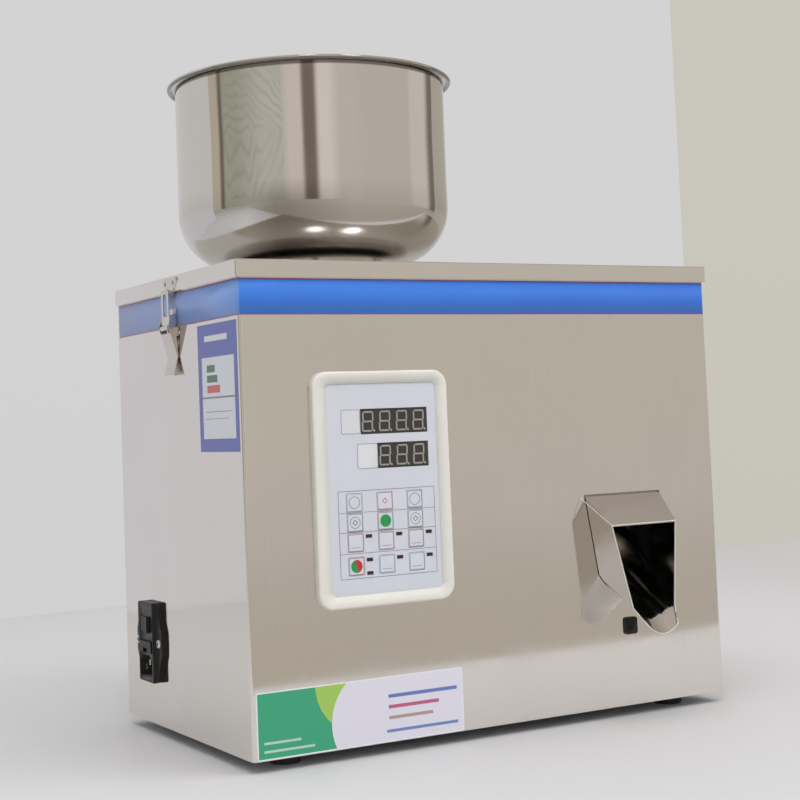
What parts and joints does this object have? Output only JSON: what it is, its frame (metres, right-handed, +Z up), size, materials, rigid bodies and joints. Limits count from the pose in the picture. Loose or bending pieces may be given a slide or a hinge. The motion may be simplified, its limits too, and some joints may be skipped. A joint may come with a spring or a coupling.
{
  "type": "powder filling machine",
  "caption": "Bench-top weigh filler: folded steel cabinet with a lift-off lid, round hopper bowl, key panel with displays, discharge chute, vibrating trough and weigh bucket.",
  "frame": {"origin": "bottom centre of the whole machine's box, on the plane the feet stand on", "axes": "+Z up, front with panel and chute towards -Y, bowl at the -X end, power inlet on the -X side"},
  "size_m": [0.416, 0.2744, 0.486],
  "materials": {
    "brushed_cabinet": "satin",
    "polished_lid": "fine satin",
    "polished_bowl": "polished",
    "zinc_sheet": "zinc plated",
    "latch_steel": "polished",
    "chute_steel": "polished",
    "rubber": "matt",
    "cream_plastic": "soft gloss",
    "pale_film": "satin",
    "key_film": "satin",
    "display_dark": "dark window",
    "lamp_dark": "dark window",
    "black_plastic": "semi gloss",
    "board_green": "solder mask",
    "switch_black": "matt",
    "brass_pins": "bright",
    "screw_steel": "zinc plated",
    "spring_steel": "blued",
    "cast_block": "as machined",
    "laminated_iron": "varnished",
    "copper_coil": "enamelled copper",
    "food_steel": "fine satin",
    "cell_aluminium": "anodised",
    "supply_case": "plain"
  },
  "bodies": {
    "cabinet": {"cabinet_shell": "brushed_cabinet", "base_pan": "zinc_sheet", "rubber_feet": "rubber", "rear_panel": "brushed_cabinet", "case_screws": "screw_steel", "latch_bases": "latch_steel", "lever_pivot_pins": "latch_steel", "panel_frame": "cream_plastic", "panel_membrane": "pale_film", "weight_display": "display_dark", "count_display": "display_dark", "indicator_lamps": "lamp_dark", "control_board": "board_green", "key_switches": "switch_black", "board_standoffs": "brass_pins", "chute_hood": "chute_steel", "chute_slide": "chute_steel", "bag_sensor": "black_plastic", "inlet_housing": "black_plastic", "inlet_contacts": "brass_pins", "feeder_stand": "zinc_sheet", "feeder_isolators": "rubber", "feeder_base": "cast_block", "feeder_springs": "spring_steel", "magnet_core": "laminated_iron", "magnet_coil": "copper_coil", "weigh_bucket": "food_steel", "solenoid": "zinc_sheet", "load_cell": "cell_aluminium", "load_cell_post": "zinc_sheet", "power_supply": "supply_case"},
    "lid": {"lid": "polished_lid", "seat_ring": "polished_lid", "latch_keepers": "latch_steel"},
    "bowl": {"bowl": "polished_bowl"},
    "lever_left": {"latch_lever_left": "latch_steel"},
    "lever_right": {"latch_lever_right": "latch_steel"},
    "link_left": {"latch_link_left": "latch_steel"},
    "link_right": {"latch_link_right": "latch_steel"},
    "feeder": {"feeder_cradle": "cast_block", "feed_trough": "food_steel"},
    "flap": {"bucket_flap": "food_steel"},
    "plunger": {"solenoid_plunger": "screw_steel"},
    "rocker": {"power_rocker": "black_plastic"},
    "drawer": {"fuse_drawer": "black_plastic"},
    "key_clear": {"key_clear": "key_film"},
    "key_up": {"key_up": "key_film"},
    "key_reset": {"key_reset": "key_film"},
    "key_left": {"key_left": "key_film"},
    "key_start": {"key_start": "key_film"},
    "key_right": {"key_right": "key_film"},
    "key_mode": {"key_mode": "key_film"},
    "key_down": {"key_down": "key_film"},
    "key_fast": {"key_fast": "key_film"},
    "key_power": {"key_power": "key_film"},
    "key_feed": {"key_feed": "key_film"},
    "key_set": {"key_set": "key_film"}
  },
  "joints": [
    {"name": "lid_lift", "type": "slide", "parent": "cabinet", "child": "lid", "axis": [0, 0, 1], "range_m": [0, 0.06]},
    {"name": "bowl_lift", "type": "slide", "parent": "lid", "child": "bowl", "axis": [0, 0, 1], "range_m": [0, 0.05]},
    {"name": "latch_lever_left", "type": "hinge", "parent": "cabinet", "child": "lever_left", "pos_m": [-0.2038, 0.0198, 0.306], "axis": [0, 1, 0], "range_deg": [0, 120]},
    {"name": "latch_link_left", "type": "hinge", "parent": "lever_left", "child": "link_left", "pos_m": [-0.2057, 0.0198, 0.3], "axis": [0, 1, 0], "range_deg": [-120, 0]},
    {"name": "latch_lever_right", "type": "hinge", "parent": "cabinet", "child": "lever_right", "pos_m": [0.2038, 0.0198, 0.306], "axis": [0, -1, 0], "range_deg": [0, 120]},
    {"name": "latch_link_right", "type": "hinge", "parent": "lever_right", "child": "link_right", "pos_m": [0.2057, 0.0198, 0.3], "axis": [0, -1, 0], "range_deg": [-120, 0]},
    {"name": "feeder_vibration", "type": "slide", "parent": "cabinet", "child": "feeder", "axis": [0.9397, 0, 0.342], "range_m": [-0.0005, 0.0005], "stiffness_N_per_m": 60000, "deforming": ["feeder_springs"]},
    {"name": "solenoid_pull", "type": "slide", "parent": "cabinet", "child": "plunger", "axis": [0, 0, 1], "range_m": [0, 0.0094], "stiffness_N_per_m": 150, "springref_m": -0.005},
    {"name": "flap_turn", "type": "hinge", "parent": "cabinet", "child": "flap", "pos_m": [0.111, -0.0252, 0.179], "axis": [1, 0, 0], "range_deg": [0, 51.6]},
    {"name": "power_rocker", "type": "hinge", "parent": "cabinet", "child": "rocker", "pos_m": [-0.202, 0.0798, 0.082], "axis": [0, 0, 1], "range_deg": [0, 16]},
    {"name": "fuse_drawer", "type": "slide", "parent": "cabinet", "child": "drawer", "axis": [-1, 0, 0], "range_m": [0, 0.018]},
    {"name": "key_clear_press", "type": "slide", "parent": "cabinet", "child": "key_clear", "axis": [0, 1, 0], "range_m": [0, 0.0005], "stiffness_N_per_m": 2500, "springref_m": -0.0004},
    {"name": "key_up_press", "type": "slide", "parent": "cabinet", "child": "key_up", "axis": [0, 1, 0], "range_m": [0, 0.0005], "stiffness_N_per_m": 2500, "springref_m": -0.0004},
    {"name": "key_reset_press", "type": "slide", "parent": "cabinet", "child": "key_reset", "axis": [0, 1, 0], "range_m": [0, 0.0005], "stiffness_N_per_m": 2500, "springref_m": -0.0004},
    {"name": "key_left_press", "type": "slide", "parent": "cabinet", "child": "key_left", "axis": [0, 1, 0], "range_m": [0, 0.0005], "stiffness_N_per_m": 2500, "springref_m": -0.0004},
    {"name": "key_start_press", "type": "slide", "parent": "cabinet", "child": "key_start", "axis": [0, 1, 0], "range_m": [0, 0.0005], "stiffness_N_per_m": 2500, "springref_m": -0.0004},
    {"name": "key_right_press", "type": "slide", "parent": "cabinet", "child": "key_right", "axis": [0, 1, 0], "range_m": [0, 0.0005], "stiffness_N_per_m": 2500, "springref_m": -0.0004},
    {"name": "key_mode_press", "type": "slide", "parent": "cabinet", "child": "key_mode", "axis": [0, 1, 0], "range_m": [0, 0.0005], "stiffness_N_per_m": 2500, "springref_m": -0.0004},
    {"name": "key_down_press", "type": "slide", "parent": "cabinet", "child": "key_down", "axis": [0, 1, 0], "range_m": [0, 0.0005], "stiffness_N_per_m": 2500, "springref_m": -0.0004},
    {"name": "key_fast_press", "type": "slide", "parent": "cabinet", "child": "key_fast", "axis": [0, 1, 0], "range_m": [0, 0.0005], "stiffness_N_per_m": 2500, "springref_m": -0.0004},
    {"name": "key_power_press", "type": "slide", "parent": "cabinet", "child": "key_power", "axis": [0, 1, 0], "range_m": [0, 0.0005], "stiffness_N_per_m": 2500, "springref_m": -0.0004},
    {"name": "key_feed_press", "type": "slide", "parent": "cabinet", "child": "key_feed", "axis": [0, 1, 0], "range_m": [0, 0.0005], "stiffness_N_per_m": 2500, "springref_m": -0.0004},
    {"name": "key_set_press", "type": "slide", "parent": "cabinet", "child": "key_set", "axis": [0, 1, 0], "range_m": [0, 0.0005], "stiffness_N_per_m": 2500, "springref_m": -0.0004}
  ],
  "couplings": [
    {"joint": "latch_link_left", "follows": "latch_lever_left", "ratio": -1},
    {"joint": "latch_link_right", "follows": "latch_lever_right", "ratio": -1},
    {"joint": "flap_turn", "follows": "solenoid_pull", "rad_per_m": 95.7}
  ]
}
